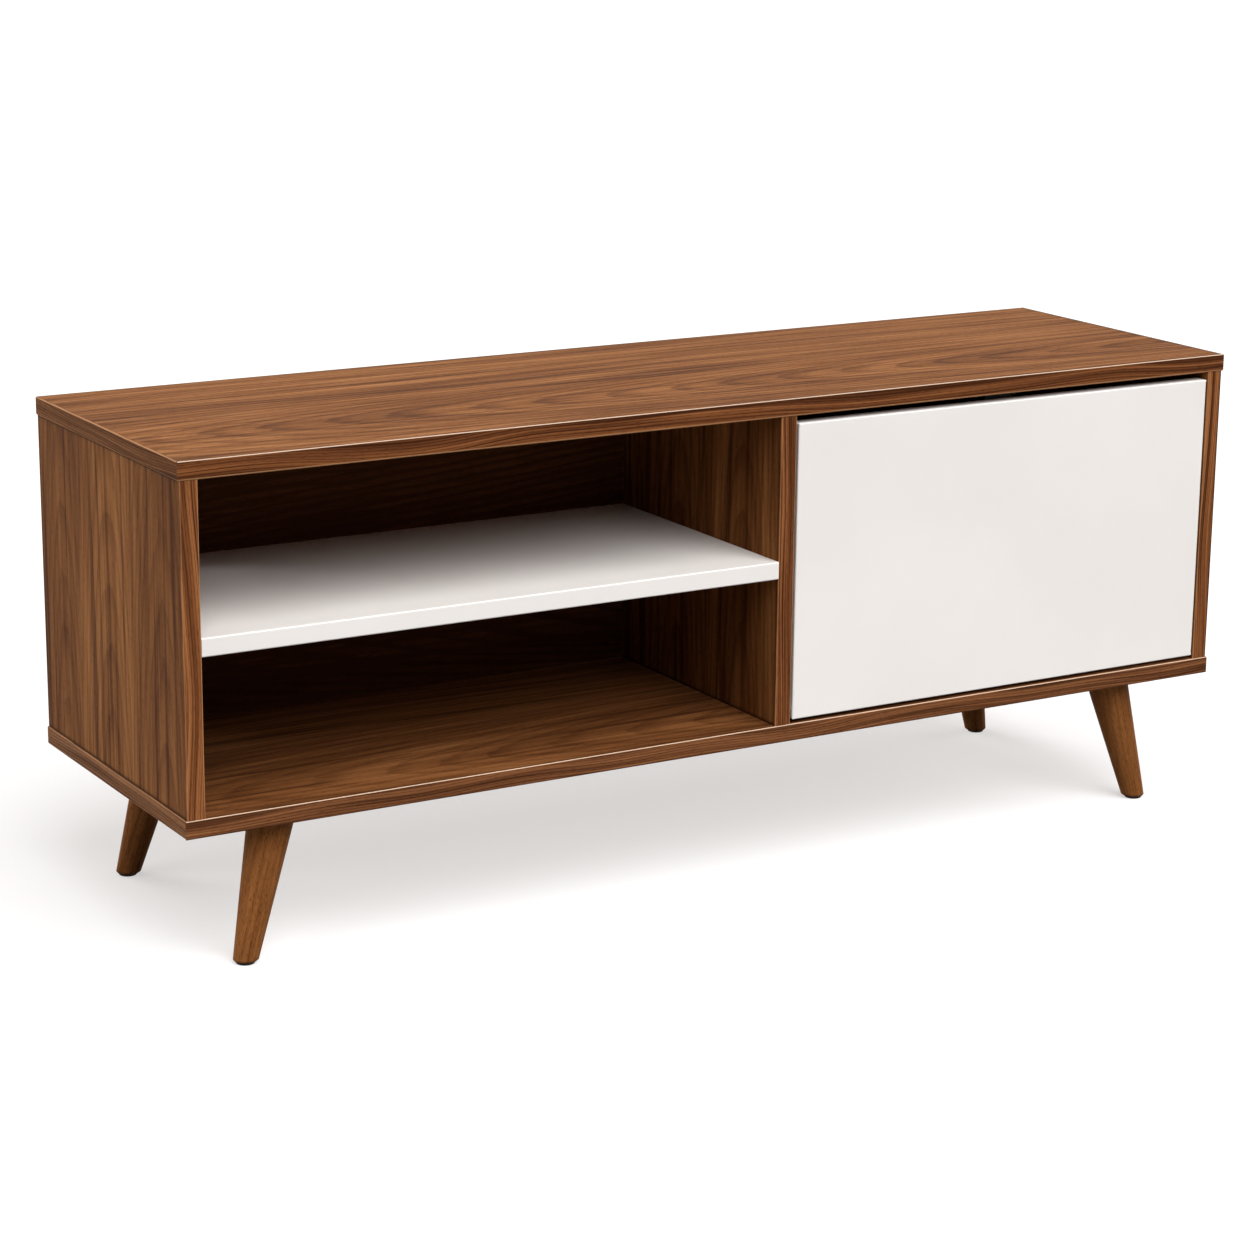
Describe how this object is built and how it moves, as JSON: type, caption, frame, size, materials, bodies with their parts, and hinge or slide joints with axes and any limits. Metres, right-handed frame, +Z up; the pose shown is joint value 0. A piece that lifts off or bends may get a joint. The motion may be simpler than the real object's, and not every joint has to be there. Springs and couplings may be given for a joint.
{
  "type": "media cabinet",
  "caption": "Low walnut media cabinet on splayed tapered legs, with an open shelved bay and a white drop-down flap on slotted stays.",
  "frame": {"origin": "on the floor, under the middle of the carcase", "axes": "+X to the right as seen from the front, +Y to the back, +Z up; the open front faces -Y"},
  "size_m": [1.2, 0.35, 0.492],
  "materials": {
    "walnut_veneer": "satin walnut veneer on particle board",
    "walnut_edge": "satin walnut edge band",
    "white_lacquer": "satin white lacquer on fibreboard",
    "solid_walnut": "turned and oiled",
    "beech": "bare beech",
    "zinc_steel": "zinc plated",
    "dark_nylon": "matte",
    "white_nylon": "matte",
    "ferrite": "sintered"
  },
  "bodies": {
    "carcase": {"back_legs": "solid_walnut", "back_panel": "walnut_veneer", "bottom_front_band": "walnut_edge", "bottom_left_band": "walnut_edge", "bottom_panel": "walnut_veneer", "bottom_right_band": "walnut_edge", "catch_housing": "dark_nylon", "catch_magnet": "ferrite", "catch_screws": "zinc_steel", "centre_divider": "walnut_veneer", "divider_band": "walnut_edge", "dowels": "beech", "front_legs": "solid_walnut", "hanger_bolts": "zinc_steel", "left_side_band": "walnut_edge", "left_side_panel": "walnut_veneer", "leg_glides": "dark_nylon", "leg_plate_screws": "zinc_steel", "leg_plates": "zinc_steel", "pivot_bushes": "white_nylon", "right_side_band": "walnut_edge", "right_side_panel": "walnut_veneer", "shelf": "white_lacquer", "shelf_band": "white_lacquer", "stay_stud_screws": "zinc_steel", "stay_studs": "zinc_steel", "top_front_band": "walnut_edge", "top_left_band": "walnut_edge", "top_panel": "walnut_veneer", "top_right_band": "walnut_edge"},
    "door": {"door_panel": "white_lacquer", "door_top_band": "white_lacquer", "door_bottom_band": "white_lacquer", "door_left_band": "white_lacquer", "door_right_band": "white_lacquer", "pivot_pins": "zinc_steel", "stay_brackets": "zinc_steel", "stay_bracket_screws": "zinc_steel", "stay_rivets": "zinc_steel", "strike_plate": "zinc_steel", "strike_screws": "zinc_steel"},
    "left_stay": {"left_stay_arm": "zinc_steel"},
    "right_stay": {"right_stay_arm": "zinc_steel"}
  },
  "joints": [
    {"name": "door_hinge", "type": "hinge", "parent": "carcase", "child": "door", "pos_m": [0.3185, -0.1665, 0.174], "axis": [1, 0, 0], "range_deg": [0, 90]},
    {"name": "left_stay_pivot", "type": "hinge", "parent": "door", "child": "left_stay", "pos_m": [0.06045, -0.1475, 0.29755], "axis": [1, 0, 0], "range_deg": [-45, 0]},
    {"name": "right_stay_pivot", "type": "hinge", "parent": "door", "child": "right_stay", "pos_m": [0.57655, -0.1475, 0.29755], "axis": [1, 0, 0], "range_deg": [-45, 0]}
  ],
  "couplings": [
    {"joint": "left_stay_pivot", "follows": "door_hinge", "ratio": -0.5},
    {"joint": "right_stay_pivot", "follows": "door_hinge", "ratio": -0.5}
  ]
}
